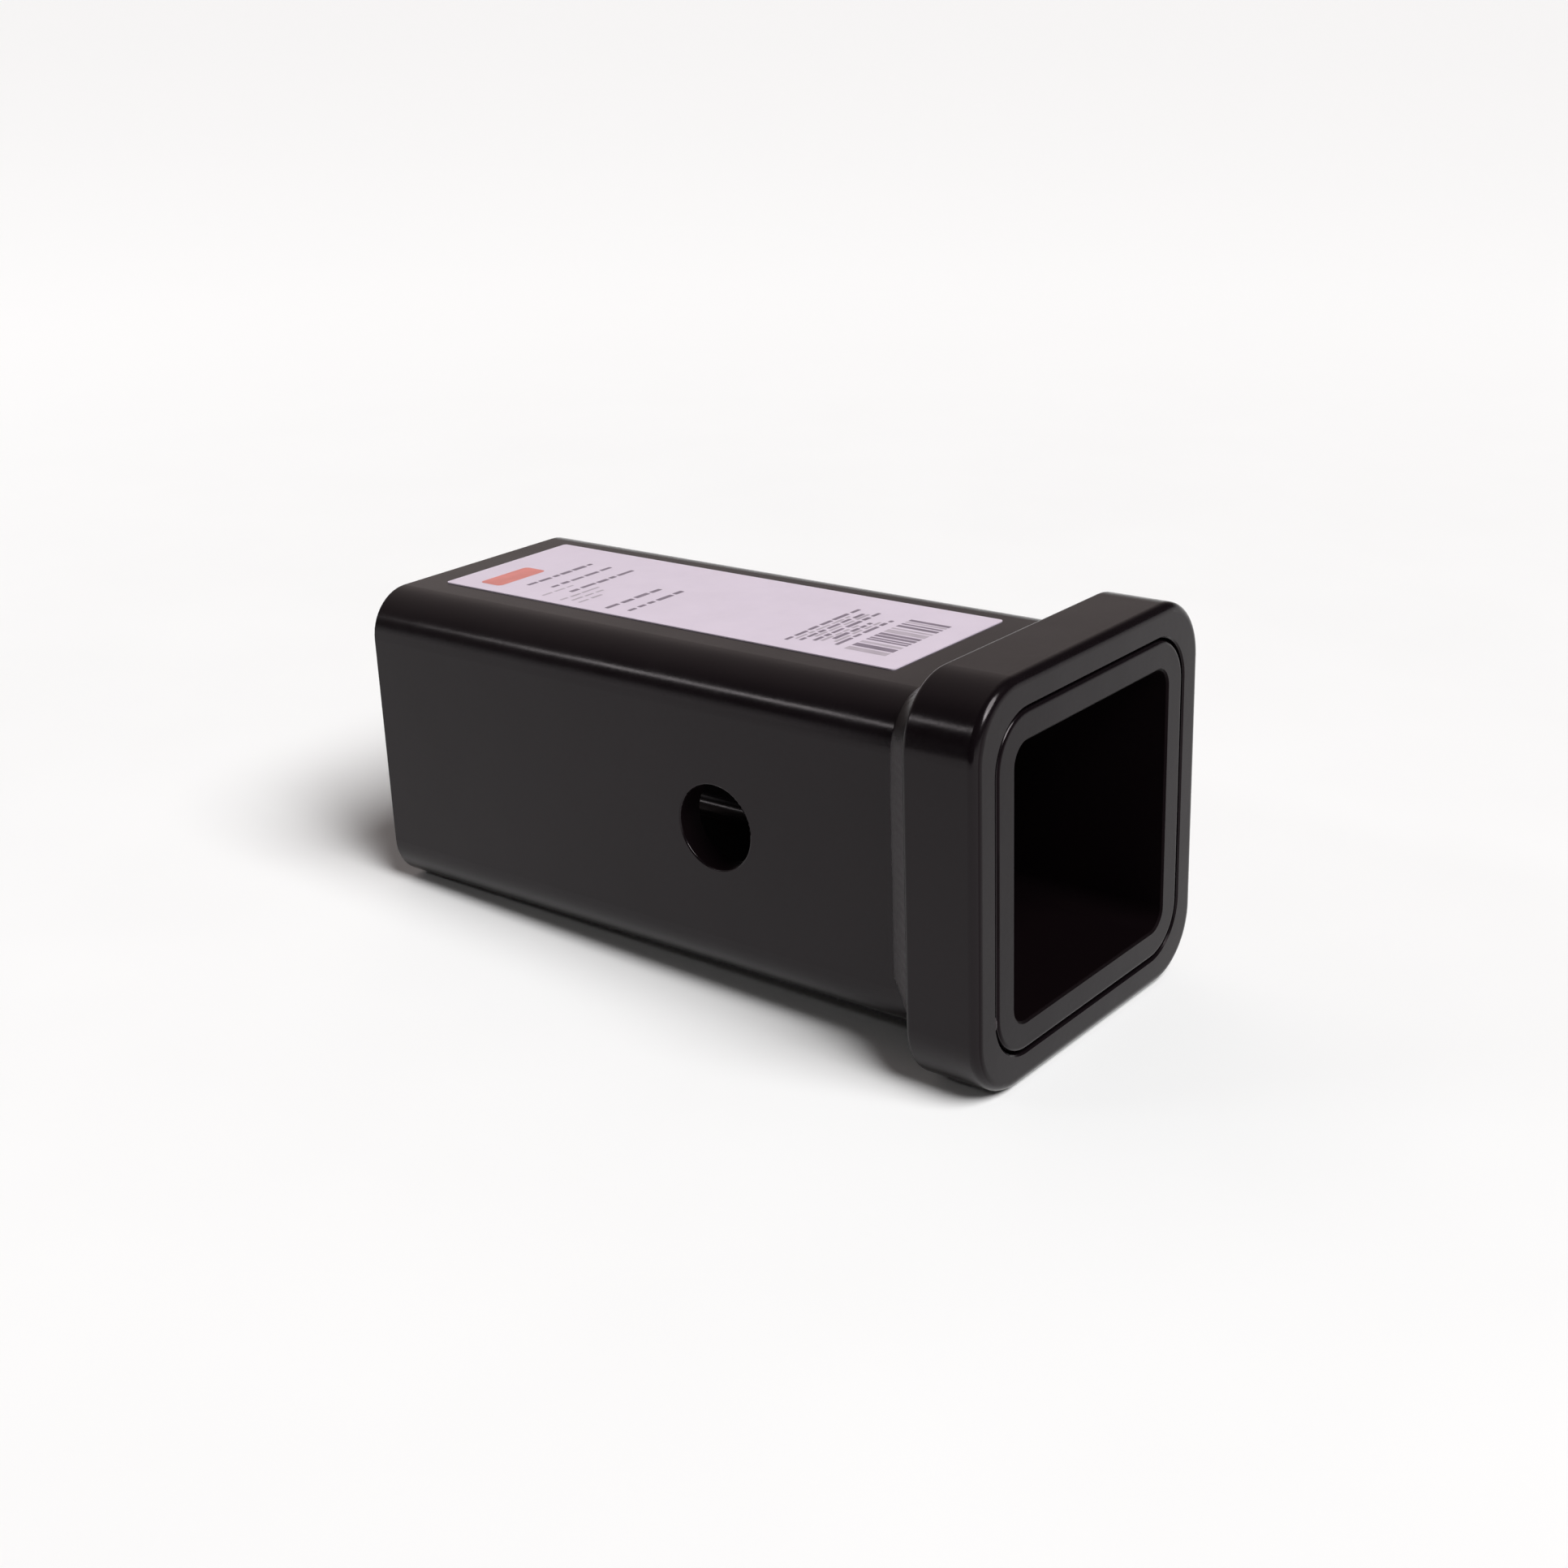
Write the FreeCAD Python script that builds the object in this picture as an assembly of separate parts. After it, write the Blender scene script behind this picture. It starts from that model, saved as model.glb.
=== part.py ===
"""Weld-on hitch receiver tube: square tube, reinforcement collar, fillet weld and label.

Frame: the tube's axis is Y, the mouth is at y = 0 and faces -Y, and +Z is up.
The origin is the centre of the mouth. All sizes are millimetres.
"""

import FreeCAD, Part
import os

# Square tube
TUBE_WIDTH = 63.5  # across the flats, outside
TUBE_WALL = 5.55  # leaves a 52.4 mm socket for a 2 in (50.8 mm) shank
TUBE_CORNER_RADIUS = 9.5  # outside radius of the bent corners
TUBE_LENGTH = 152.4
TUBE_EDGE_ROUND = 0.8  # outer edge of the mouth
TUBE_END_BREAK = 0.4  # sawn edges with the burr taken off
PIN_HOLE_DIAMETER = 16.7  # clears a 5/8 in (15.9 mm) hitch pin
PIN_HOLE_SETBACK = 62.2  # mouth to hole centre
PIN_HOLE_EDGE_ROUND = 0.4  # outer rims, with the burr taken off and coated over

# Reinforcement collar
COLLAR_GAP = 0.5  # slip clearance around the tube, seen as the groove at the mouth
COLLAR_WALL = 5.85
COLLAR_CORNER_RADIUS = 12.7
COLLAR_LENGTH = 15.2
COLLAR_FRONT_ROUND = 1.8  # outer edge at the mouth
COLLAR_BACK_ROUND = 1.0  # outer edge beside the weld
COLLAR_BORE_BREAK = 0.3

# Fillet weld behind the collar
WELD_LEG = 6.9  # along the tube, from the collar's back face
WELD_TOE_INSET = 0.45  # bare flat left between the bead and the collar's rounded edge
WELD_CROWN = 0.55  # bulge of the bead's face past the straight line between its toes

# Label on the top flat
LABEL_WIDTH = 36.0
LABEL_LENGTH = 114.0
LABEL_THICKNESS = 0.2
LABEL_CORNER_RADIUS = 0.8
LABEL_SETBACK = 31.3  # mouth to the label's near edge
LABEL_OFFSET = 1.2  # label's middle from the tube's middle, towards +X

TUBE_HALF = TUBE_WIDTH / 2
SOCKET_HALF = TUBE_HALF - TUBE_WALL
SOCKET_CORNER_RADIUS = TUBE_CORNER_RADIUS - TUBE_WALL
COLLAR_BORE_HALF = TUBE_HALF + COLLAR_GAP
COLLAR_BORE_RADIUS = TUBE_CORNER_RADIUS + COLLAR_GAP
COLLAR_HALF = COLLAR_BORE_HALF + COLLAR_WALL
WELD_HEIGHT = COLLAR_HALF - TUBE_HALF - COLLAR_BACK_ROUND - WELD_TOE_INSET
WELD_TOE = COLLAR_LENGTH + WELD_LEG

ALONG_X = FreeCAD.Vector(1, 0, 0)
ALONG_Y = FreeCAD.Vector(0, 1, 0)
ORIGIN = FreeCAD.Vector(0, 0, 0)
TOLERANCE = 1e-6


def point(x, y, z):
    return FreeCAD.Vector(x, y, z)


def rounded_rectangle(half_width, half_height, radius, y=0.0):
    """Closed wire in the plane at y: corner arcs joined by straight sides, from the +X side up."""
    in_x = half_width - radius
    in_z = half_height - radius
    bulge = radius / 2**0.5
    arcs = []
    for sx, sz in ((1, 1), (-1, 1), (-1, -1), (1, -1)):
        on_side = point(sx * half_width, y, sz * in_z)
        middle = point(sx * (in_x + bulge), y, sz * (in_z + bulge))
        on_top = point(sx * in_x, y, sz * half_height)
        start, end = (on_side, on_top) if sx == sz else (on_top, on_side)
        arcs.append(Part.Arc(start, middle, end))
    edges = []
    for arc, following in zip(arcs, arcs[1:] + arcs[:1]):
        edges.append(arc.toShape())
        edges.append(Part.LineSegment(arc.EndPoint, following.StartPoint).toShape())
    return Part.Wire(edges)


def square_bar(half, radius, length, start=0.0):
    """Solid rounded-square bar along the tube's axis, from the plane at y = start."""
    return Part.Face(rounded_rectangle(half, half, radius, start)).extrude(ALONG_Y * length)


def square_edges(shape, half, y):
    """The edges of the rounded square of this half width in the plane at y."""
    found = []
    for edge in shape.Edges:
        ends = [vertex.Point for vertex in edge.Vertexes]
        in_plane = all(abs(end.y - y) < TOLERANCE for end in ends)
        on_square = all(abs(max(abs(end.x), abs(end.z)) - half) < TOLERANCE for end in ends)
        if in_plane and on_square:
            found.append(edge)
    return found


def hole_rims(shape):
    """The outer rims of the pin hole, one on each side flat."""
    rims = []
    for edge in shape.Edges:
        if isinstance(edge.Curve, Part.Circle) and abs(edge.Curve.Axis.x) > 1 - TOLERANCE:
            if abs(abs(edge.Curve.Center.x) - TUBE_HALF) < TOLERANCE:
                rims.append(edge)
    return rims


def receiver_tube():
    """Square tube with a cross hole for the hitch pin through both side walls.

    The outside is split at the weld's toe, so each flat that is free to weld on is a face of its own.
    """
    covered = square_bar(TUBE_HALF, TUBE_CORNER_RADIUS, WELD_TOE)
    free = square_bar(TUBE_HALF, TUBE_CORNER_RADIUS, TUBE_LENGTH - WELD_TOE, WELD_TOE)
    body = covered.fuse(free)
    body = body.cut(square_bar(SOCKET_HALF, SOCKET_CORNER_RADIUS, TUBE_LENGTH))
    sawn = square_edges(body, SOCKET_HALF, 0) + square_edges(body, SOCKET_HALF, TUBE_LENGTH)
    sawn += square_edges(body, TUBE_HALF, TUBE_LENGTH)
    body = body.makeChamfer(TUBE_END_BREAK, sawn)
    body = body.makeFillet(TUBE_EDGE_ROUND, square_edges(body, TUBE_HALF, 0))
    start = point(-TUBE_WIDTH, PIN_HOLE_SETBACK, 0)
    body = body.cut(Part.makeCylinder(PIN_HOLE_DIAMETER / 2, 2 * TUBE_WIDTH, start, ALONG_X))
    return body.makeFillet(PIN_HOLE_EDGE_ROUND, hole_rims(body))


def reinforcement_collar():
    """Square band that slips over the tube, flush with its mouth."""
    body = square_bar(COLLAR_HALF, COLLAR_CORNER_RADIUS, COLLAR_LENGTH)
    body = body.cut(square_bar(COLLAR_BORE_HALF, COLLAR_BORE_RADIUS, COLLAR_LENGTH))
    body = body.makeChamfer(COLLAR_BORE_BREAK, square_edges(body, COLLAR_BORE_HALF, 0))
    body = body.makeFillet(COLLAR_FRONT_ROUND, square_edges(body, COLLAR_HALF, 0))
    return body.makeFillet(COLLAR_BACK_ROUND, square_edges(body, COLLAR_HALF, COLLAR_LENGTH))


def collar_weld():
    """Crowned fillet bead swept around the tube, seated on the tube and the collar's back face."""
    path = rounded_rectangle(TUBE_HALF, TUBE_HALF, TUBE_CORNER_RADIUS, COLLAR_LENGTH)
    root = point(TUBE_HALF, COLLAR_LENGTH, TUBE_HALF - TUBE_CORNER_RADIUS)
    toe_on_collar = root + ALONG_X * WELD_HEIGHT
    toe_on_tube = root + ALONG_Y * WELD_LEG
    outward = point(WELD_LEG, WELD_HEIGHT, 0).normalize()
    crown = (toe_on_collar + toe_on_tube) * 0.5 + outward * WELD_CROWN
    section = Part.Wire([
        Part.LineSegment(root, toe_on_collar).toShape(),
        Part.Arc(toe_on_collar, crown, toe_on_tube).toShape(),
        Part.LineSegment(toe_on_tube, root).toShape(),
    ])
    return path.makePipeShell([section], True, False)


def label():
    """Thin sticker lying on the tube's top flat."""
    outline = rounded_rectangle(LABEL_WIDTH / 2, LABEL_LENGTH / 2, LABEL_CORNER_RADIUS)
    sheet = Part.Face(outline).extrude(ALONG_Y * LABEL_THICKNESS)
    sheet.rotate(ORIGIN, ALONG_X, 90)
    sheet.translate(point(LABEL_OFFSET, LABEL_SETBACK + LABEL_LENGTH / 2, TUBE_HALF))
    return sheet


NODES = {
    "receiver_tube": receiver_tube,
    "reinforcement_collar": reinforcement_collar,
    "collar_weld": collar_weld,
    "label": label,
}

os.makedirs("parts", exist_ok=True)
for name, build in NODES.items():
    shape = build()
    shape.exportStep(f"parts/{name}.step")
    print(name, len(shape.Solids), shape.isValid(), round(shape.Volume, 1))
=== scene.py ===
"""Visual model of a weld-on hitch receiver tube, in the frame of its CAD model.

The tube and the collar keep their CAD shapes and get a black powder coat. The weld bead, the
tack in the groove at the mouth and the printed label are made here in finer detail.
Blender works in metres; MM turns millimetres into them.
"""

import math
import random

import bmesh
import bpy
from mathutils import Matrix, Vector, noise


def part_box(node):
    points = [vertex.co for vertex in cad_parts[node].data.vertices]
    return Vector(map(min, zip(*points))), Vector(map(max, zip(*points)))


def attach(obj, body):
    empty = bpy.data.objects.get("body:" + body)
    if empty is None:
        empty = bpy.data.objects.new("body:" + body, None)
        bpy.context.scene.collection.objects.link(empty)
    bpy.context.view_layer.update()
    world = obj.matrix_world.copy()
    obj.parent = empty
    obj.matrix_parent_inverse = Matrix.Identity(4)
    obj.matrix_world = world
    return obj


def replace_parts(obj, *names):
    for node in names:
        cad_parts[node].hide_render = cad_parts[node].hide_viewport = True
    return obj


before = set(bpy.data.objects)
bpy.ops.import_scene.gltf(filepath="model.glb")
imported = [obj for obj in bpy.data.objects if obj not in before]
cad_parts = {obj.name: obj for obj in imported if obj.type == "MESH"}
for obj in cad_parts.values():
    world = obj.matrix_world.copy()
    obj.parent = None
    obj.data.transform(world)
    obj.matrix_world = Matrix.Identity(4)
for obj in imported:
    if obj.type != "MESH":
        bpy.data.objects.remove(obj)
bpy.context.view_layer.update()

MM = 0.001
UP = Vector((0, 0, 1))

# Camera, fitted to the edges in the photograph
PHOTO_PIXELS = 1932
FOCAL_PIXELS = 2680.1
SENSOR_WIDTH = 36.0
CAMERA_AZIMUTH = math.radians(-51.21)
CAMERA_ELEVATION = math.radians(20.61)
CAMERA_ROLL = math.radians(2.19)
CAMERA_DISTANCE = 433.13 * MM
CAMERA_AIM = Vector((0, 70.77, -3.15)) * MM
CLIP_START = 0.01
CLIP_END = 100.0

# Sizes that the boxes of the CAD nodes don't give
TUBE_CORNER_RADIUS = 9.5 * MM
TUBE_WALL = 5.55 * MM
COLLAR_BACK_ROUND = 1.0 * MM
PIN_HOLE_RADIUS = 8.35 * MM
LABEL_CORNER_RADIUS = 0.8 * MM

# How near to a face the coat takes that face's look
SKIN = 0.25 * MM
SOCKET_SKIN = 2 * SKIN  # takes in the broken edges at the socket's ends
END_SKIN = SKIN / 10

# Noise values crowd between these
NOISE_LOW = 0.3
NOISE_HIGH = 0.7

# Colour sockets of Blender's mix node
MIX_FIRST = 6
MIX_SECOND = 7
MIX_RESULT = 2

# Coat: colours, with painted light on the weld and painted shade inside, tints of its gloss, roughness from
# smoother to rougher, and specular level
COAT_SHADES = ((0.0038, 0.0025, 0.0032), (0.0050, 0.0034, 0.0043))
# painted light: the bead's shades are much lighter than the coat, for light that its flats catch
WELD_PAINTED_LIGHT_SHADES = ((0.025, 0.021, 0.023), (0.034, 0.0285, 0.031))
INSIDE_PAINTED_SHADE = (0.0030, 0.0015, 0.0020)  # painted shade in the socket and the pin hole
COAT_SHEEN = (1.0, 0.92, 0.95)
COLLAR_END_SHEEN = (0.50, 0.42, 0.44)
TUBE_END_SHEEN = (0.16, 0.10, 0.12)
# painted shade on the reflection in the socket and the pin hole
INSIDE_PAINTED_SHADE_SHEEN = (0.12, 0.10, 0.11)
COAT_ROUGHNESS = (0.155, 0.205)
WELD_ROUGHNESS = (0.34, 0.44)
GRAIN_ROUGHNESS = (-0.02, 0.03)  # added by the grain
HIDDEN_ROUGHNESS = 0.6
COAT_LEVEL = 0.24
WELD_LEVEL = 0.36

# Coat: sizes of its unevenness
CLOUD_SIZE = 30 * MM  # changes of colour
PATCH_SIZE = 9 * MM  # changes of gloss
GRAIN_SIZE = 0.5 * MM
WAVE_SIZE = 18 * MM
WAVE_DEPTH = 0.12 * MM
PEEL_SIZE = 1.5 * MM  # orange peel
COAT_PEEL_DEPTH = 0.010 * MM
WELD_PEEL_DEPTH = 0.014 * MM
POOLED_OVER = (45 * MM, 95 * MM)  # along Y, where coat that ran into the socket's corners starts to shine, free of the painted shade
PAINTED_LIGHT_FADE_AND_SMOOTHING_OVER = (1.2 * MM, 6.0 * MM)  # into its bends, where the bead's painted light fades out, leaving it as dark and smooth as the coat

# Weld bead
BEAD_CROWN = 0.12 * MM
BEAD_RIPPLE_PITCH = 2.3 * MM
BEAD_RIPPLE_DEPTH = 0.05 * MM
BEAD_RIPPLE_BOW = 0.9 * MM  # how far a ripple's middle runs ahead of its ends
BEAD_DEPTH_SPREAD = 1.2  # of the depth, by which ripples are deeper or shallower
BEAD_DEPTH_SIZE = 4 * MM
BEAD_DRIFT = 3.5  # radians by which the ripples run early or late
BEAD_DRIFT_SIZE = 6 * MM
BEAD_DRIFT_LAYER = 9 * MM  # sets this noise apart from the toe's
BEAD_TOE_WANDER = 0.06  # of the leg, along the bead
BEAD_WANDER_SIZE = 9 * MM
BEAD_CORNER_PINCH = 0.5  # of the leg, lost round the two lower corners
BEAD_PINCH_OVER = (0.62, 0.87)  # shares of the way down from the tube's middle, where the pinch sets in
BEAD_PINCH_EASE = 2.5  # how steeply the pinch ends towards the bottom flat
BEAD_STATIONS = 720
BEAD_POINTS = 14

# Tack of weld and paint that bridges the groove at the mouth
TACK_PLACE = Vector((-31.95, 0.95, -23.1)) * MM
TACK_SIZE = Vector((0.75, 0.85, 1.7)) * MM
TACK_SUBDIVISIONS = 4
TACK_LUMPS = 0.12  # of its radius
TACK_LUMP_RATE = 2.3

# Paper and inks: colour, share by which it mottles, and roughness
PAPER = ((0.70, 0.615, 0.715), 0.02, 0.42)
CORAL_INK = ((0.66, 0.227, 0.202), 0.12, 0.40)
GREY_INK = ((0.22, 0.18, 0.23), 0.15, 0.45)
PALE_INK = ((0.46, 0.40, 0.46), 0.12, 0.45)
PAPER_LEVEL = 0.3
MOTTLE_SIZE = 7 * MM
SHINE_SIZE = 4 * MM
SHINE_SPREAD = (-0.05, 0.06)  # added to the roughness
FIBRE_SIZE = 0.25 * MM
FIBRE_DEPTH = 0.006 * MM

# Label print: places from the mouth along Y and from the tube's middle along X
CORAL, GREY, PALE = range(3)
PRINT_LIFT = 0.015 * MM
BAR_PLACE = (-6.4 * MM, 136.0 * MM)
BAR_SIZE = (13.8 * MM, 5.9 * MM)
BAR_CORNER_RADIUS = 1.1 * MM
STRIPES_FROM = (-11.2 * MM, 37.2 * MM)
STRIPES_TO = (10.4 * MM, 46.5 * MM)
HEAD_STROKE = 1.15 * MM
SMALL_STROKE = 0.95 * MM
FINE_STROKE = 0.70 * MM
WORD_CORNER_RADIUS = 0.22 * MM
WORD_HEIGHT = (0.8, 1.1)  # of the stroke
CORNER_STEPS = 5  # along a printed field's rounded corner
SHEET_CORNER_STEPS = 6

# Print, in millimetres: each line's place along Y, then its start and end along X
HEAD_LINES = ((128.4, -9.8, 9.6), (123.0, -8.4, 10.0), (117.2, -9.0, 11.7))
MID_LINES = ((102.6, -14.2, 2.9), (97.6, -13.3, 3.2))
SMALL_LINES = ((59.1, -12.5, 10.9), (56.6, -11.3, 8.8), (54.1, -10.2, 10.8), (51.6, -7.4, 4.6),
               (49.1, -10.2, 7.9))
FINE_LINES = ((120.1, -14.0, -5.0), (114.6, -14.6, -3.0), (112.4, -13.6, -4.4), (110.2, -14.0, -6.0),
              (57.8, -11.0, 6.0), (55.4, -8.0, 9.0), (52.8, -9.6, 2.0), (50.4, -8.8, 6.2))
WORD_LENGTH = (1.6, 5.2)
WORD_GAP = (0.5, 0.9)
WORD_SHIFT = (-0.08, 0.08)
STRIPE_WIDTHS = (0.7, 1.1, 1.8)
STRIPE_GAPS = (0.4, 0.6, 0.9)

# Lamps, and the board that keeps light off
SUN_FROM = Vector((-0.08, -0.61, 0.79))
SUN_STRENGTH = 3.14
SUN_SPREAD = math.radians(36)
SPARK_PLACE = Vector((-0.36, -0.78, 0.84))
SPARK_SIZE = 0.30
SPARK_POWER = 2.6
STRIP_MIDDLE = Vector((-0.90, 0.915, 0.69))
STRIP_LENGTH = 0.52
STRIP_WIDTH = 0.10
STRIP_POWER = 1.4
FLAG_LOW = Vector((-0.40, -0.25, -0.04))
FLAG_HIGH = Vector((-0.40, 0.27, 0.22))
FLAG_SHADES = (0.010, 0.014)
FLAG_CLOUD_SIZE = 20 * MM

# Room and floor
HORIZON_LEVELS = ((0.0, 0.85), (0.08, 0.78), (0.20, 0.0))  # brightness by the height of the way looked
GLOW_FROM = Vector((0.35, 0.94, 0))
GLOW_LEVELS = ((0.0, 0.03), (0.62, 0.03), (0.72, 0.10), (0.86, 0.34), (1.0, 0.48))  # 1 is towards the glow
GLOW_STRETCH = (1, 1, 0.5)  # flattens the way looked, so the glow reaches higher up
GLOW_TINT = (1.0, 0.87, 0.84)
FLOOR_SIZE = 40.0
FLOOR_SHADES = (0.895, 0.91)
FLOOR_FAR_SHADE = 0.98
FLOOR_FADE = (0.2, 0.9)  # from the mouth, where the floor pales
FLOOR_CLOUD_SIZE = 60 * MM
MATT_ROUGHNESS = 0.9

rng = random.Random(7)

tube_low, tube_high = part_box("receiver_tube")
collar_low, collar_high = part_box("reinforcement_collar")
weld_low, weld_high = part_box("collar_weld")
label_low, label_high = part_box("label")


def add_node(tree, kind, inputs=None, **settings):
    """A new shader node: settings are its properties, inputs are values or other nodes' sockets."""
    node = tree.nodes.new(kind)
    for name, value in settings.items():
        setattr(node, name, value)
    for key, value in (inputs or {}).items():
        if isinstance(value, bpy.types.NodeSocket):
            tree.links.new(value, node.inputs[key])
        else:
            node.inputs[key].default_value = value
    return node


def add_math(tree, operation, first, second=0.0):
    return add_node(tree, "ShaderNodeMath", {0: first, 1: second}, operation=operation).outputs[0]


def add_vector(tree, operation, first, second=(0, 0, 0), output="Vector"):
    node = add_node(tree, "ShaderNodeVectorMath", {0: first, 1: second}, operation=operation)
    return node.outputs[output]


def add_noise(tree, place, size, detail=2.0):
    """Noise with features of about this size, in metres."""
    inputs = {"Vector": place, "Scale": 1 / size, "Detail": detail}
    return add_node(tree, "ShaderNodeTexNoise", inputs).outputs["Fac"]


def add_range(tree, value, low, high):
    """Noise values spread from low to high."""
    inputs = {"Value": value, "From Min": NOISE_LOW, "From Max": NOISE_HIGH, "To Min": low, "To Max": high}
    return add_node(tree, "ShaderNodeMapRange", inputs).outputs["Result"]


def add_mix(tree, factor, first, second):
    """The first colour where the factor is 0, the second where it is 1."""
    node = add_node(tree, "ShaderNodeMix", {0: factor}, data_type="RGBA")
    for key, colour in ((MIX_FIRST, first), (MIX_SECOND, second)):
        if isinstance(colour, bpy.types.NodeSocket):
            tree.links.new(colour, node.inputs[key])
        else:
            node.inputs[key].default_value = (*colour, 1)
    return node.outputs[MIX_RESULT]


def add_bump(tree, height, depth, normal=None):
    inputs = {"Height": height, "Distance": depth, "Strength": 1.0}
    if normal:
        inputs["Normal"] = normal
    return add_node(tree, "ShaderNodeBump", inputs).outputs["Normal"]


def add_between(tree, value, low, high):
    """1 where the value lies between low and high, 0 elsewhere."""
    above = add_math(tree, "GREATER_THAN", value, low)
    return add_math(tree, "MULTIPLY", above, add_math(tree, "LESS_THAN", value, high))


def add_fade(tree, value, low, high):
    """0 below low, 1 above high, and a smooth rise between."""
    inputs = {"Value": value, "From Min": low, "From Max": high}
    return add_node(tree, "ShaderNodeMapRange", inputs, interpolation_type="SMOOTHSTEP").outputs["Result"]


def new_material(name):
    """A material with its tree, its shader and the place on the object, in metres."""
    material = bpy.data.materials.new(name)
    material.use_nodes = True
    tree = material.node_tree
    place = add_node(tree, "ShaderNodeTexCoord").outputs["Object"]
    return material, tree, tree.nodes["Principled BSDF"], place


def add_places(tree, place):
    """Masks that are 1 in the socket and the pin hole, where painted shade goes, on the ends at the mouth, on
    the tube's own end there, and round the bends of the section, where the weld's painted light fades out.

    Every rounded square of the section has the same four corner centres, so the way out from the
    square between them tells the socket, the tube and the collar apart.
    """
    socket_radius = TUBE_CORNER_RADIUS - TUBE_WALL
    centre = tube_high.x - TUBE_CORNER_RADIUS
    axes = add_node(tree, "ShaderNodeSeparateXYZ", {0: place})
    along = axes.outputs["Y"]
    across = add_math(tree, "ABSOLUTE", axes.outputs["X"])
    high = add_math(tree, "ABSOLUTE", axes.outputs["Z"])
    past = [add_math(tree, "MAXIMUM", add_math(tree, "SUBTRACT", way, centre), 0.0) for way in (across, high)]
    square = [add_math(tree, "MULTIPLY", way, way) for way in past]
    out = add_math(tree, "SQRT", add_math(tree, "ADD", *square))
    turned = add_math(tree, "MINIMUM", *past)

    # painted shade in the socket and the pin hole, where the coat is also rougher; further in, it lifts in
    # the socket's corners
    socket = add_math(tree, "LESS_THAN", out, socket_radius + SOCKET_SKIN)
    bore = add_math(tree, "LESS_THAN", high, PIN_HOLE_RADIUS + SKIN)
    bore = add_math(tree, "MULTIPLY", bore, add_math(tree, "LESS_THAN", across, tube_high.x - SKIN))
    inside_shade_and_roughness = add_math(tree, "MAXIMUM", socket, bore)
    inside = add_between(tree, along, END_SKIN, tube_high.y - END_SKIN)
    inside_shade_and_roughness = add_math(tree, "MULTIPLY", inside_shade_and_roughness, inside)
    corner = add_fade(tree, turned, 0.0, socket_radius / 4)
    pooled = add_math(tree, "MULTIPLY", corner, add_fade(tree, along, *POOLED_OVER))
    inside_shade_and_roughness = add_math(tree, "MULTIPLY", inside_shade_and_roughness, add_math(tree, "SUBTRACT", 1.0, pooled))

    end = add_math(tree, "LESS_THAN", along, SKIN)
    on_tube = add_math(tree, "LESS_THAN", out, TUBE_CORNER_RADIUS + SKIN)
    tube_end = add_math(tree, "MULTIPLY", end, on_tube)
    # round the bends the bead's painted light fades out to the coat's own dark colour, and it turns as smooth
    # as the coat
    bend_light_fade_and_smoothing = add_fade(tree, turned, *PAINTED_LIGHT_FADE_AND_SMOOTHING_OVER)
    return inside_shade_and_roughness, end, tube_end, bend_light_fade_and_smoothing


def coat_material(name, shades, rough, level, peel_depth):
    """Black powder coat: uneven satin gloss, orange peel and slow waves, duller in the socket and the pin
    hole, with painted shade on its colour and reflection there; the weld's lighter shades are painted light.
    """
    material, tree, shader, place = new_material(name)
    inside_shade_and_roughness, end, tube_end, bend_light_fade_and_smoothing = add_places(tree, place)

    clouds = add_range(tree, add_noise(tree, place, CLOUD_SIZE, detail=3.0), 0, 1)
    # the weld's shades are painted light, which gives way to the coat's own colour round the bends
    colour = add_mix(tree, bend_light_fade_and_smoothing, add_mix(tree, clouds, *shades), add_mix(tree, clouds, *COAT_SHADES))
    # painted shade in the socket and the pin hole
    colour = add_mix(tree, inside_shade_and_roughness, colour, INSIDE_PAINTED_SHADE)

    roughness = add_range(tree, add_noise(tree, place, PATCH_SIZE, detail=4.0), *rough)
    smoothing = add_math(tree, "MULTIPLY", bend_light_fade_and_smoothing, rough[0] - COAT_ROUGHNESS[0])
    roughness = add_math(tree, "SUBTRACT", roughness, smoothing)
    grain = add_range(tree, add_noise(tree, place, GRAIN_SIZE), *GRAIN_ROUGHNESS)
    roughness = add_math(tree, "ADD", roughness, grain)
    dull = add_math(tree, "MULTIPLY", inside_shade_and_roughness, HIDDEN_ROUGHNESS)
    roughness = add_math(tree, "MAXIMUM", roughness, dull)

    sheen = add_mix(tree, end, COAT_SHEEN, COLLAR_END_SHEEN)
    sheen = add_mix(tree, tube_end, sheen, TUBE_END_SHEEN)
    # painted shade on the reflection in the socket and the pin hole
    sheen = add_mix(tree, inside_shade_and_roughness, sheen, INSIDE_PAINTED_SHADE_SHEEN)

    normal = add_bump(tree, add_noise(tree, place, WAVE_SIZE, detail=1.0), WAVE_DEPTH)
    normal = add_bump(tree, add_noise(tree, place, PEEL_SIZE), peel_depth, normal)

    tree.links.new(colour, shader.inputs["Base Color"])
    tree.links.new(roughness, shader.inputs["Roughness"])
    tree.links.new(sheen, shader.inputs["Specular Tint"])
    tree.links.new(normal, shader.inputs["Normal"])
    shader.inputs["Specular IOR Level"].default_value = level
    return material


def paper_material(name, colour, spread, roughness):
    """Coated label paper or ink on it: faint mottling, fine fibres and a little sheen."""
    material, tree, shader, place = new_material(name)
    mottle = add_range(tree, add_noise(tree, place, MOTTLE_SIZE, detail=4.0), 0, 1)
    darker = [part * (1 - spread) for part in colour]
    lighter = [min(1.0, part * (1 + spread)) for part in colour]
    shine = add_noise(tree, place, SHINE_SIZE, detail=3.0)
    shine = add_range(tree, shine, *(roughness + shift for shift in SHINE_SPREAD))
    fibres = add_noise(tree, place, FIBRE_SIZE, detail=3.0)
    tree.links.new(add_mix(tree, mottle, darker, lighter), shader.inputs["Base Color"])
    tree.links.new(shine, shader.inputs["Roughness"])
    tree.links.new(add_bump(tree, fibres, FIBRE_DEPTH), shader.inputs["Normal"])
    shader.inputs["Specular IOR Level"].default_value = PAPER_LEVEL
    return material


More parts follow.
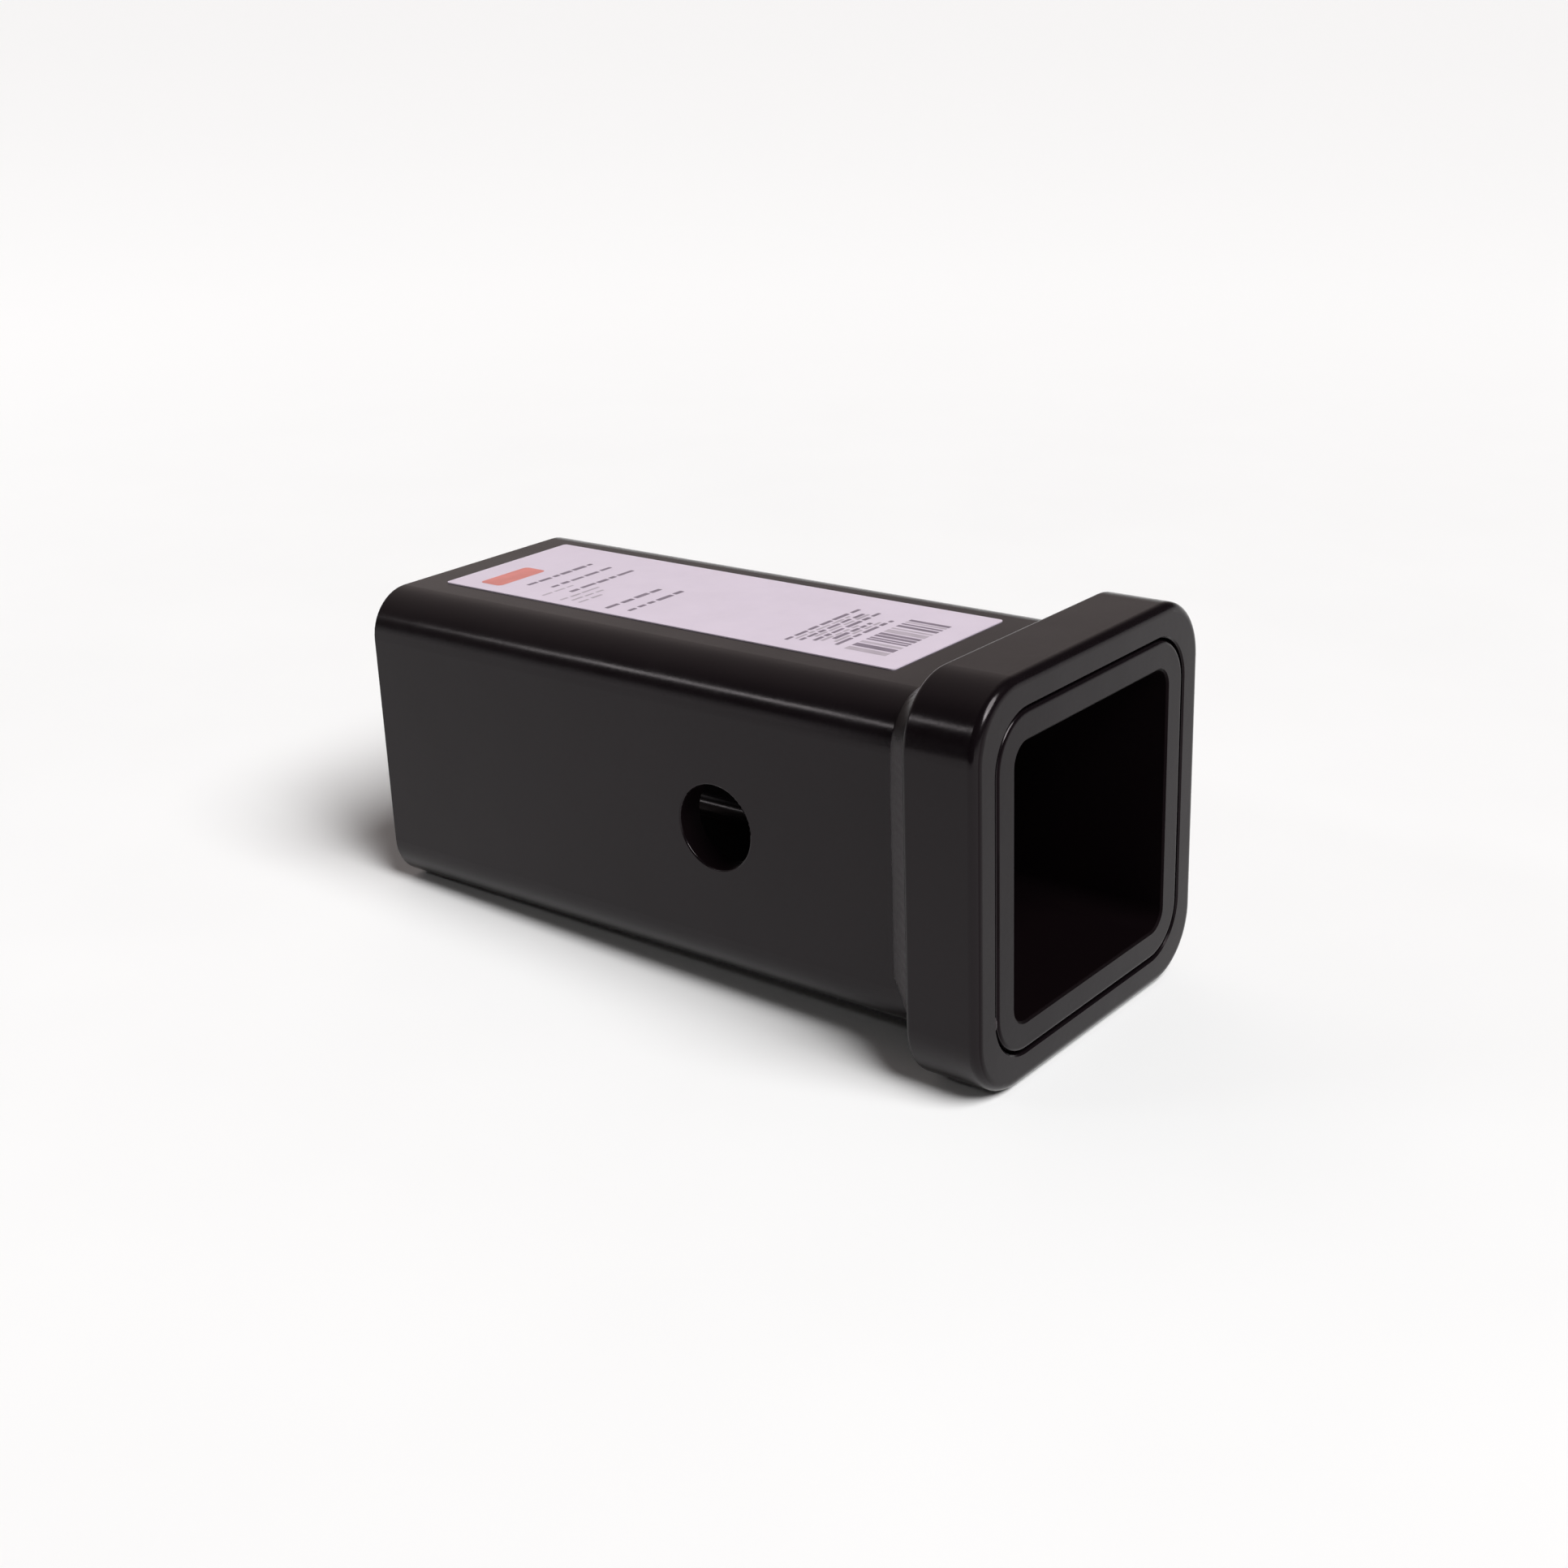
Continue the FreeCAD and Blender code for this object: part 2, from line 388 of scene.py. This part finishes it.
def make_matt(tree, shader, colour):
    """A surface without gloss, for what stands around the part."""
    tree.links.new(colour, shader.inputs["Base Color"])
    shader.inputs["Roughness"].default_value = MATT_ROUGHNESS
    shader.inputs["Specular IOR Level"].default_value = 0.0


def add_clouded_grey(tree, place, size, levels):
    """Grey that drifts between two levels."""
    shade = add_range(tree, add_noise(tree, place, size), 0, 1)
    return add_mix(tree, shade, *((level,) * 3 for level in levels))


def add_object(name, mesh, materials):
    thing = bpy.data.objects.new(name, mesh)
    bpy.context.scene.collection.objects.link(thing)
    for material in materials:
        mesh.materials.append(material)
    return thing


def mesh_from(name, build, smooth=True):
    """A mesh that build(bm) fills, with its faces turned outwards."""
    bm = bmesh.new()
    build(bm)
    bmesh.ops.recalc_face_normals(bm, faces=bm.faces)
    for face in bm.faces:
        face.smooth = smooth
    mesh = bpy.data.meshes.new(name)
    bm.to_mesh(mesh)
    bm.free()
    return mesh


def around_tube(share):
    """Point on the tube's outline, and the outward direction there, at a share of the way round."""
    straight = 2 * (tube_high.x - TUBE_CORNER_RADIUS)
    arc = TUBE_CORNER_RADIUS * math.pi / 2
    side, along = divmod(share * 4 * (straight + arc), straight + arc)
    turn = side * math.pi / 2
    inner = straight / 2
    if along < straight:
        local, lean = Vector((tube_high.x, along - inner)), 0.0
    else:
        lean = (along - straight) / TUBE_CORNER_RADIUS
        local = Vector((inner, inner)) + TUBE_CORNER_RADIUS * Vector((math.cos(lean), math.sin(lean)))
    spin = Matrix.Rotation(turn, 2)
    out = spin @ Vector((math.cos(lean), math.sin(lean)))
    return spin @ local, out


def waver(at, layer, size):
    """Noise that changes over this size along the tube's outline."""
    return noise.noise(Vector((at.x, at.y, layer)) / size)


def bead_toe(at, out):
    """How far the bead reaches along the tube here."""
    first, last = BEAD_PINCH_OVER
    onset = (-at.y / tube_high.x - first) / (last - first)
    pinch = BEAD_CORNER_PINCH * max(0.0, min(1.0, onset)) * min(1.0, abs(out.x) * BEAD_PINCH_EASE)
    wander = BEAD_TOE_WANDER * (1 + waver(at, 0, BEAD_WANDER_SIZE)) / 2
    return (weld_high.y - weld_low.y) * (1 - wander) * (1 - pinch)


def build_bead(bm):
    """Rippled fillet bead round the tube, in the corner behind the collar."""
    height = weld_high.x - tube_high.x
    length = 8 * (tube_high.x - TUBE_CORNER_RADIUS) + 2 * math.pi * TUBE_CORNER_RADIUS
    ripples = round(length / BEAD_RIPPLE_PITCH)
    rings = []
    for station in range(BEAD_STATIONS):
        share = station / BEAD_STATIONS
        at, out = around_tube(share)
        toe = bead_toe(at, out)
        drift = BEAD_DRIFT * waver(at, BEAD_DRIFT_LAYER, BEAD_DRIFT_SIZE)
        face_out = Vector((toe, height)).normalized()
        ring = []
        for step in range(BEAD_POINTS):
            part = step / (BEAD_POINTS - 1)
            swell = math.sin(math.pi * part)
            ahead = swell * BEAD_RIPPLE_BOW / length
            phase = 2 * math.pi * ripples * (share + ahead) + drift
            depth = BEAD_RIPPLE_DEPTH * (1 + BEAD_DEPTH_SPREAD * waver(at, part * MM, BEAD_DEPTH_SIZE))
            lift = swell * (BEAD_CROWN - depth * (1 + math.cos(phase)) / 2)
            rise = height * (1 - part) + face_out.x * lift
            run = toe * part + face_out.y * lift
            spot = at + out * rise
            ring.append(bm.verts.new((spot.x, weld_low.y + run, spot.y)))
        ring.append(bm.verts.new((at.x, weld_low.y, at.y)))
        rings.append(ring)
    for ring, following in zip(rings, rings[1:] + rings[:1]):
        for i in range(len(ring)):
            j = (i + 1) % len(ring)
            bm.faces.new((ring[i], following[i], following[j], ring[j]))


def build_tack(bm):
    """Lumpy drop of weld metal that lies in the groove."""
    bmesh.ops.create_icosphere(bm, subdivisions=TACK_SUBDIVISIONS, radius=1.0)
    for vertex in bm.verts:
        lump = 1 + TACK_LUMPS * noise.noise(vertex.co * TACK_LUMP_RATE)
        vertex.co = Vector(a * b for a, b in zip(vertex.co * lump, TACK_SIZE)) + TACK_PLACE


def label_reach(y):
    """Half the label's width at y, less what its rounded corners take off."""
    half = (label_high.x - label_low.x) / 2
    short = LABEL_CORNER_RADIUS - min(y - label_low.y, label_high.y - y)
    if short <= 0:
        return half
    return half - LABEL_CORNER_RADIUS + math.sqrt(max(0.0, LABEL_CORNER_RADIUS**2 - short**2))


def build_sheet(bm):
    """The label as a thin sheet: rows across it, close together at its rounded corners."""
    middle = (label_low.x + label_high.x) / 2
    angles = [math.pi / 2 * i / SHEET_CORNER_STEPS for i in range(SHEET_CORNER_STEPS + 1)]
    corner = [LABEL_CORNER_RADIUS * (1 - math.cos(angle)) for angle in angles]
    rows = [label_low.y + d for d in corner] + [label_high.y - d for d in reversed(corner)]
    edges = []
    for y in rows:
        reach = label_reach(y)
        edges.append([[bm.verts.new((middle + side * reach, y, z)) for z in (label_low.z, label_high.z)]
                      for side in (-1, 1)])
    for near, far in zip(edges, edges[1:]):
        for level in (0, 1):
            bm.faces.new((near[0][level], near[1][level], far[1][level], far[0][level]))
        for side in (0, 1):
            bm.faces.new((near[side][0], near[side][1], far[side][1], far[side][0]))
    for end in (edges[0], edges[-1]):
        bm.faces.new((end[0][0], end[0][1], end[1][1], end[1][0]))


def add_patch(bm, centre, size, radius, ink):
    """One printed field on the label: a rectangle, with rounded corners where it has a radius."""
    z = label_high.z + PRINT_LIFT
    corners = []
    steps = CORNER_STEPS if radius > 0 else 0
    for sx, sy, start in ((1, 1, 0), (-1, 1, 1), (-1, -1, 2), (1, -1, 3)):
        inner_x = centre[0] + sx * (size[0] / 2 - radius)
        inner_y = centre[1] + sy * (size[1] / 2 - radius)
        for i in range(steps + 1):
            angle = math.pi / 2 * (start + (i / steps if steps else 0.5))
            corners.append((inner_x + radius * math.cos(angle), inner_y + radius * math.sin(angle), z))
    bm.faces.new([bm.verts.new(corner) for corner in corners]).material_index = ink


def add_line(bm, y, start, end, stroke, ink):
    """A printed line that says nothing: dashes of uneven length, as words would leave."""
    x = start
    while x < end - stroke:
        word = min(rng.uniform(*WORD_LENGTH) * MM, end - x)
        height = stroke * rng.uniform(*WORD_HEIGHT)
        centre = (x + word / 2, y + rng.uniform(*WORD_SHIFT) * MM)
        add_patch(bm, centre, (word, height), WORD_CORNER_RADIUS, ink)
        x += word + rng.uniform(*WORD_GAP) * MM


def build_print(bm):
    """Generic print: one coloured bar, lines of dashes and a block of stripes."""
    add_patch(bm, BAR_PLACE, BAR_SIZE, BAR_CORNER_RADIUS, CORAL)
    sets = (
        (HEAD_LINES + MID_LINES, HEAD_STROKE, GREY),
        (SMALL_LINES, SMALL_STROKE, GREY),
        (FINE_LINES, FINE_STROKE, PALE),
    )
    for lines, stroke, ink in sets:
        for y, start, end in lines:
            add_line(bm, y * MM, start * MM, end * MM, stroke, ink)
    (x, low), (end, high) = STRIPES_FROM, STRIPES_TO
    while x < end:
        width = min(rng.choice(STRIPE_WIDTHS) * MM, end - x)
        centre = (x + width / 2, (low + high) / 2)
        add_patch(bm, centre, (width, high - low), 0, rng.choice((GREY, PALE)))
        x += width + rng.choice(STRIPE_GAPS) * MM


def dress_part():
    """Coat on the tube and the collar, and the scene's own bead, tack, label and print."""
    coat = coat_material("black_powder_coat", COAT_SHADES, COAT_ROUGHNESS, COAT_LEVEL, COAT_PEEL_DEPTH)
    weld_coat = coat_material("coated_weld", WELD_PAINTED_LIGHT_SHADES, WELD_ROUGHNESS, WELD_LEVEL, WELD_PEEL_DEPTH)
    paper = paper_material("label_paper", *PAPER)
    coral = paper_material("coral_ink", *CORAL_INK)
    grey = paper_material("grey_ink", *GREY_INK)
    pale = paper_material("pale_ink", *PALE_INK)

    for name in ("receiver_tube", "reinforcement_collar"):
        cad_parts[name].material_slots[0].material = coat

    bead = add_object("weld_bead", mesh_from("weld_bead", build_bead), [weld_coat])
    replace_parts(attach(bead, "root"), "collar_weld")
    tack = add_object("groove_tack", mesh_from("groove_tack", build_tack), [weld_coat])
    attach(tack, "root")
    sheet = add_object("label_sheet", mesh_from("label_sheet", build_sheet, smooth=False), [paper])
    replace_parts(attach(sheet, "root"), "label")
    ink = add_object("label_print", mesh_from("label_print", build_print, smooth=False), [coral, grey, pale])
    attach(ink, "root")


def add_floor():
    """Pale floor under the two edges that the part lies on: the collar's back and the tube's rear end."""
    front = Vector((0, collar_high.y - COLLAR_BACK_ROUND, collar_low.z))
    rear = Vector((0, tube_high.y, tube_low.z))
    slope = (rear - front).normalized()

    def build(bm):
        reach = FLOOR_SIZE / 2
        corners = ((-1, -1), (1, -1), (1, 1), (-1, 1))
        spots = [front + Vector((x * reach, 0, 0)) + slope * (y * reach) for x, y in corners]
        bm.faces.new([bm.verts.new(spot) for spot in spots])

    material, tree, shader, place = new_material("pale_floor")
    near = add_clouded_grey(tree, place, FLOOR_CLOUD_SIZE, FLOOR_SHADES)
    distance = add_vector(tree, "LENGTH", place, output="Value")
    colour = add_mix(tree, add_fade(tree, distance, *FLOOR_FADE), near, (FLOOR_FAR_SHADE,) * 3)
    make_matt(tree, shader, colour)
    add_object("floor", mesh_from("floor", build, smooth=False), [material])


def add_flag():
    """Dark board left of the part, out of the picture, that keeps the gloss on the collar's side deep."""
    def build(bm):
        low, high = FLAG_LOW, FLAG_HIGH
        corners = ((low.y, low.z), (high.y, low.z), (high.y, high.z), (low.y, high.z))
        bm.faces.new([bm.verts.new((low.x, y, z)) for y, z in corners])

    material, tree, shader, place = new_material("dark_board")
    make_matt(tree, shader, add_clouded_grey(tree, place, FLAG_CLOUD_SIZE, FLAG_SHADES))
    flag = add_object("flag", mesh_from("flag", build, smooth=False), [material])
    flag.visible_camera = False


def add_light(name, kind, place, **settings):
    """A lamp at this place, turned to shine on the origin."""
    data = bpy.data.lights.new(name, kind)
    for key, value in settings.items():
        setattr(data, key, value)
    lamp = bpy.data.objects.new(name, data)
    lamp.location = place
    lamp.rotation_mode = "QUATERNION"
    lamp.rotation_quaternion = place.to_track_quat("Z", "Y")
    bpy.context.scene.collection.objects.link(lamp)
    return lamp


def add_lamps():
    """Soft key from the front, a small lamp on the left for the glint on the collar's corner, and a
    strip high on the left, parallel to the tube, for the line along its edge."""
    add_light("key", "SUN", SUN_FROM, energy=SUN_STRENGTH, angle=SUN_SPREAD)
    spark = add_light("spark", "AREA", SPARK_PLACE, energy=SPARK_POWER, shape="SQUARE", size=SPARK_SIZE)
    strip = add_light("strip", "AREA", STRIP_MIDDLE, energy=STRIP_POWER, shape="RECTANGLE",
                      size=STRIP_LENGTH, size_y=STRIP_WIDTH)
    along = Vector((0, 1, 0))
    facing = Vector((STRIP_MIDDLE.x, 0, STRIP_MIDDLE.z)).normalized()
    strip.rotation_quaternion = Matrix((along, facing.cross(along), facing)).transposed().to_quaternion()
    for lamp in (spark, strip):
        lamp.visible_camera = False


def add_ramp(tree, value, levels):
    """Grey levels between stated positions from 0 to 1."""
    ramp = add_node(tree, "ShaderNodeValToRGB", {0: value})
    elements = ramp.color_ramp.elements
    while len(elements) < len(levels):
        elements.new(1.0)
    for element, (position, level) in zip(elements, levels):
        element.position = position
        element.color = (level, level, level, 1)
    return ramp.outputs["Color"]


def add_room():
    """Dim room with a pale horizon, and a warm glow behind the part."""
    world = bpy.data.worlds.new("studio")
    bpy.context.scene.world = world
    world.use_nodes = True
    tree = world.node_tree
    way = add_node(tree, "ShaderNodeTexCoord").outputs["Generated"]
    height = add_node(tree, "ShaderNodeSeparateXYZ", {0: way}).outputs["Z"]
    horizon = add_ramp(tree, height, HORIZON_LEVELS)
    lowered = add_vector(tree, "NORMALIZE", add_vector(tree, "MULTIPLY", way, GLOW_STRETCH))
    turn = add_vector(tree, "DOT_PRODUCT", lowered, GLOW_FROM.normalized(), output="Value")
    behind = add_node(tree, "ShaderNodeMapRange", {"Value": turn, "From Min": -1.0}).outputs["Result"]
    glow = add_vector(tree, "MULTIPLY", add_ramp(tree, behind, GLOW_LEVELS), GLOW_TINT)
    light = add_vector(tree, "MAXIMUM", horizon, glow)
    tree.links.new(light, tree.nodes["Background"].inputs["Color"])


def add_camera():
    data = bpy.data.cameras.new("photo_camera")
    data.sensor_width = SENSOR_WIDTH
    data.lens = SENSOR_WIDTH * FOCAL_PIXELS / PHOTO_PIXELS
    data.clip_start, data.clip_end = CLIP_START, CLIP_END
    level = Vector((math.sin(CAMERA_AZIMUTH), -math.cos(CAMERA_AZIMUTH), 0))
    back = level * math.cos(CAMERA_ELEVATION) + UP * math.sin(CAMERA_ELEVATION)
    right = UP.cross(back).normalized()
    top = back.cross(right)
    image_right = math.cos(CAMERA_ROLL) * right - math.sin(CAMERA_ROLL) * top
    image_top = math.sin(CAMERA_ROLL) * right + math.cos(CAMERA_ROLL) * top
    camera = bpy.data.objects.new("photo_camera", data)
    turn = Matrix((image_right, image_top, back)).transposed().to_4x4()
    camera.matrix_world = Matrix.Translation(CAMERA_AIM + back * CAMERA_DISTANCE) @ turn
    bpy.context.scene.collection.objects.link(camera)
    bpy.context.scene.camera = camera


dress_part()
add_floor()
add_flag()
add_lamps()
add_room()
add_camera()
bpy.context.scene.view_settings.view_transform = "Standard"
